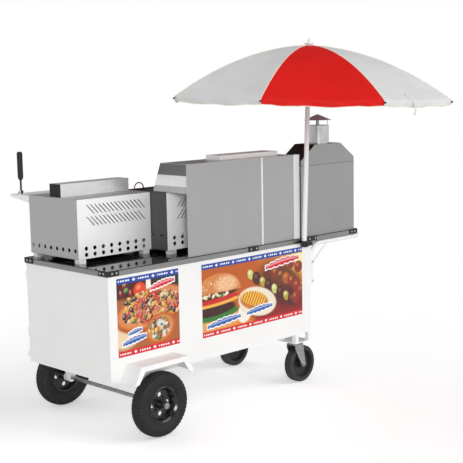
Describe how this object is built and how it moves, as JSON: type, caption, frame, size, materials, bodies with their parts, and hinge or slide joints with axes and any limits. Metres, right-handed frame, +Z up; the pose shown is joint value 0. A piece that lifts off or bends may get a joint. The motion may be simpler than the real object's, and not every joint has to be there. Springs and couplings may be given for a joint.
{
  "type": "push vending cart",
  "caption": "Push cart for cooked street food, with a cabinet on large wheels and swivel casters, pizza oven, griddle behind a wind guard, grill hood and market umbrella.",
  "frame": {"origin": "point on the floor under the middle of the cabinet", "axes": "+X along the long customer side towards the push handle and shelf, +Y from the customer side to the operator side, +Z up"},
  "size_m": [2.0451, 1.5467, 1.8676],
  "materials": {
    "white_paint": "gloss",
    "grey_paint": "gloss",
    "steel": "satin",
    "dark_steel": "matte",
    "black_top": "gloss",
    "moulding": "satin",
    "black_plastic": "satin",
    "zinc": "satin",
    "tyre": "matte",
    "grey_rubber": "matte",
    "grey_nylon": "matte",
    "black_rim": "gloss",
    "print": "gloss",
    "stone": "matte",
    "bronze": "satin",
    "brass": "satin",
    "white_pole": "gloss",
    "canopy": "matte"
  },
  "bodies": {
    "cart": {"frame": "white_paint", "front_panel": "white_paint", "end_panels": "grey_paint", "floor_panel": "white_paint", "worktop": "black_top", "edge_moulding": "moulding", "edge_covers": "black_plastic", "screws": "zinc", "wheel_arches": "white_paint", "axle": "zinc", "risers": "white_paint", "handle": "white_paint", "print_small": "print", "print_wide": "print", "oven_shell": "steel", "oven_ledge": "steel", "stove_feet": "zinc", "oven_deck": "stone", "burners": "dark_steel", "griddle_shell": "steel", "griddle_plate": "dark_steel", "lift_handle": "bronze", "gas_inlet": "brass", "guard_panel": "steel", "guard_roof": "steel", "guard_tray": "steel", "hood_box": "steel", "hood_roof": "steel", "chimney": "steel", "chimney_cap": "steel", "grill_tray": "dark_steel", "grill_grate": "zinc", "pole_socket": "black_plastic", "caster_plates": "zinc"},
    "wheel_front": {"tyre_front": "tyre", "rim_front": "black_rim"},
    "wheel_back": {"tyre_back": "tyre", "rim_back": "black_rim"},
    "swivel_front": {"fork_front": "zinc"},
    "swivel_back": {"fork_back": "zinc"},
    "roller_front": {"caster_tyre_front": "grey_rubber", "caster_core_front": "grey_nylon"},
    "roller_back": {"caster_tyre_back": "grey_rubber", "caster_core_back": "grey_nylon"},
    "oven_flap": {"oven_door": "steel"},
    "lever": {"lever_rod": "zinc", "lever_grip": "black_plastic"},
    "flue_box": {"oven_lid": "steel"},
    "cabinet_door_left": {"door_left": "white_paint"},
    "cabinet_door_right": {"door_right": "white_paint"},
    "gas_knob_oven": {"knob_oven": "black_plastic"},
    "gas_knob_left": {"knob_left": "black_plastic"},
    "gas_knob_right": {"knob_right": "black_plastic"},
    "umbrella": {"pole": "white_pole", "runner": "black_plastic", "crown": "black_plastic", "ribs": "dark_steel", "stretchers": "dark_steel", "canopy": "canopy"},
    "pole_clamp": {"clamp_knob": "black_plastic"}
  },
  "joints": [
    {"name": "wheel_front_spin", "type": "hinge", "parent": "cart", "child": "wheel_front", "pos_m": [-0.464, -0.38, 0.156], "axis": [0, 1, 0], "continuous": true},
    {"name": "wheel_back_spin", "type": "hinge", "parent": "cart", "child": "wheel_back", "pos_m": [-0.464, 0.38, 0.156], "axis": [0, 1, 0], "continuous": true},
    {"name": "swivel_front_turn", "type": "hinge", "parent": "cart", "child": "swivel_front", "pos_m": [0.635, -0.255, 0.215], "axis": [0, 0, 1], "continuous": true},
    {"name": "swivel_back_turn", "type": "hinge", "parent": "cart", "child": "swivel_back", "pos_m": [0.635, 0.255, 0.215], "axis": [0, 0, 1], "continuous": true},
    {"name": "roller_front_spin", "type": "hinge", "parent": "swivel_front", "child": "roller_front", "pos_m": [0.673, -0.255, 0.1016], "axis": [0, 1, 0], "continuous": true},
    {"name": "roller_back_spin", "type": "hinge", "parent": "swivel_back", "child": "roller_back", "pos_m": [0.673, 0.255, 0.1016], "axis": [0, 1, 0], "continuous": true},
    {"name": "oven_door_hinge", "type": "hinge", "parent": "cart", "child": "oven_flap", "pos_m": [-0.445, 0.326, 1.074], "axis": [1, 0, 0], "range_deg": [0, 70]},
    {"name": "lever_hinge", "type": "hinge", "parent": "cart", "child": "lever", "pos_m": [-0.646, 0.416, 1.123], "axis": [1, 0, 0], "range_deg": [-35, 35]},
    {"name": "flue_box_hinge", "type": "hinge", "parent": "cart", "child": "flue_box", "pos_m": [-0.445, 0.171, 1.1184], "axis": [-1, 0, 0], "range_deg": [0, 75]},
    {"name": "cabinet_door_left_hinge", "type": "hinge", "parent": "cart", "child": "cabinet_door_left", "pos_m": [-0.698, 0.3246, 0.56], "axis": [0, 0, 1], "range_deg": [0, 110]},
    {"name": "cabinet_door_right_hinge", "type": "hinge", "parent": "cart", "child": "cabinet_door_right", "pos_m": [0.698, 0.3246, 0.56], "axis": [0, 0, -1], "range_deg": [0, 110]},
    {"name": "gas_knob_oven_turn", "type": "hinge", "parent": "cart", "child": "gas_knob_oven", "pos_m": [-0.29, 0.316, 0.894], "axis": [0, 1, 0], "range_deg": [0, 180]},
    {"name": "gas_knob_left_turn", "type": "hinge", "parent": "cart", "child": "gas_knob_left", "pos_m": [0.003, 0.114, 0.894], "axis": [0, 1, 0], "range_deg": [0, 180]},
    {"name": "gas_knob_right_turn", "type": "hinge", "parent": "cart", "child": "gas_knob_right", "pos_m": [0.343, 0.114, 0.894], "axis": [0, 1, 0], "range_deg": [0, 180]},
    {"name": "umbrella_turn", "type": "hinge", "parent": "cart", "child": "umbrella", "pos_m": [0.62219, -0.34226, 0.78199], "axis": [0.0192, -0.0262, 0.9995], "continuous": true},
    {"name": "pole_clamp_turn", "type": "hinge", "parent": "cart", "child": "pole_clamp", "pos_m": [0.62227, -0.34237, 0.78599], "axis": [-0.0005, -0.9997, -0.0262], "range_deg": [0, 360]}
  ]
}
